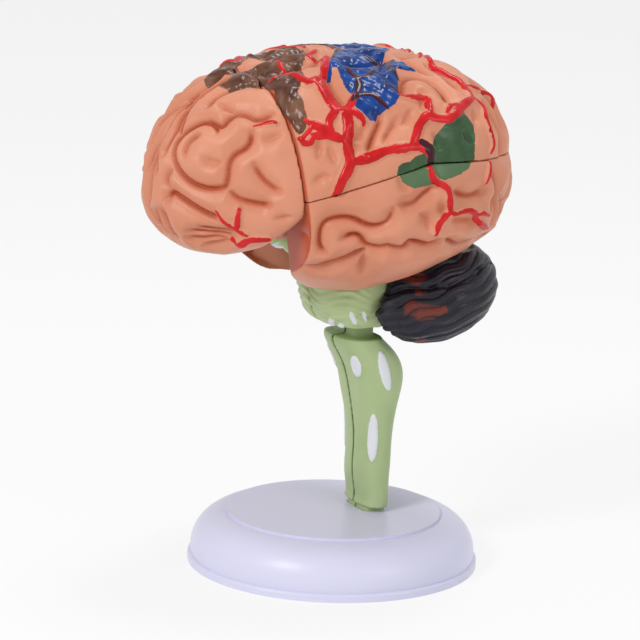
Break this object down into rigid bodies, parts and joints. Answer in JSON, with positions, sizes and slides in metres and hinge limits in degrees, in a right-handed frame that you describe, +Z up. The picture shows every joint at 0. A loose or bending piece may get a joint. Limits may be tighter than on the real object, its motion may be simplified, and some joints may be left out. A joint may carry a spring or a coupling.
{
  "type": "brain anatomy model",
  "caption": "Take-apart model of the human brain with painted lobes, on a green stem that plugs into a round stand.",
  "frame": {"origin": "on the table, under the middle of the model's bounding box", "axes": "+Z up, the forehead faces -Y, the model's own left side is +X"},
  "size_m": [0.078, 0.0908, 0.1273],
  "materials": {
    "lobe": "satin",
    "cerebellum": "satin",
    "stem": "satin",
    "core": "satin",
    "bridge": "satin",
    "stand": "satin"
  },
  "bodies": {
    "stand": {"stand_base": "stand"},
    "stem": {"midbrain": "stem", "corpus_callosum": "bridge", "fornix": "bridge", "optic_chiasm": "stem", "cord_left": "stem", "cord_right": "stem", "pons_left": "stem", "pons_right": "stem", "thalamus_left": "core", "thalamus_right": "core", "insula_left": "core", "insula_right": "core", "caudate_left": "core", "caudate_right": "core"},
    "frontal_left_lobe": {"frontal_left": "lobe"},
    "frontal_right_lobe": {"frontal_right": "lobe"},
    "parietal_left_lobe": {"parietal_left": "lobe"},
    "parietal_right_lobe": {"parietal_right": "lobe"},
    "temporal_left_lobe": {"temporal_left": "lobe", "hippocampus_left": "core"},
    "temporal_right_lobe": {"temporal_right": "lobe", "hippocampus_right": "core"},
    "cerebellum_left_half": {"cerebellum_left": "cerebellum"},
    "cerebellum_right_half": {"cerebellum_right": "cerebellum"}
  },
  "joints": [
    {"name": "stem_lift", "type": "slide", "parent": "stand", "child": "stem", "axis": [0, 0, 1], "range_m": [0, 0.03]},
    {"name": "frontal_left_slide", "type": "slide", "parent": "stem", "child": "frontal_left_lobe", "axis": [0, -1, 0], "range_m": [0, 0.04]},
    {"name": "frontal_right_slide", "type": "slide", "parent": "stem", "child": "frontal_right_lobe", "axis": [0, -1, 0], "range_m": [0, 0.04]},
    {"name": "parietal_left_slide", "type": "slide", "parent": "stem", "child": "parietal_left_lobe", "axis": [0, 0, 1], "range_m": [0, 0.045]},
    {"name": "parietal_right_slide", "type": "slide", "parent": "stem", "child": "parietal_right_lobe", "axis": [0, 0, 1], "range_m": [0, 0.045]},
    {"name": "temporal_left_slide", "type": "slide", "parent": "stem", "child": "temporal_left_lobe", "axis": [1, 0, 0], "range_m": [0, 0.045]},
    {"name": "temporal_right_slide", "type": "slide", "parent": "stem", "child": "temporal_right_lobe", "axis": [-1, 0, 0], "range_m": [0, 0.045]},
    {"name": "cerebellum_left_slide", "type": "slide", "parent": "stem", "child": "cerebellum_left_half", "axis": [0, 1, 0], "range_m": [0, 0.04]},
    {"name": "cerebellum_right_slide", "type": "slide", "parent": "stem", "child": "cerebellum_right_half", "axis": [0, 1, 0], "range_m": [0, 0.04]}
  ]
}
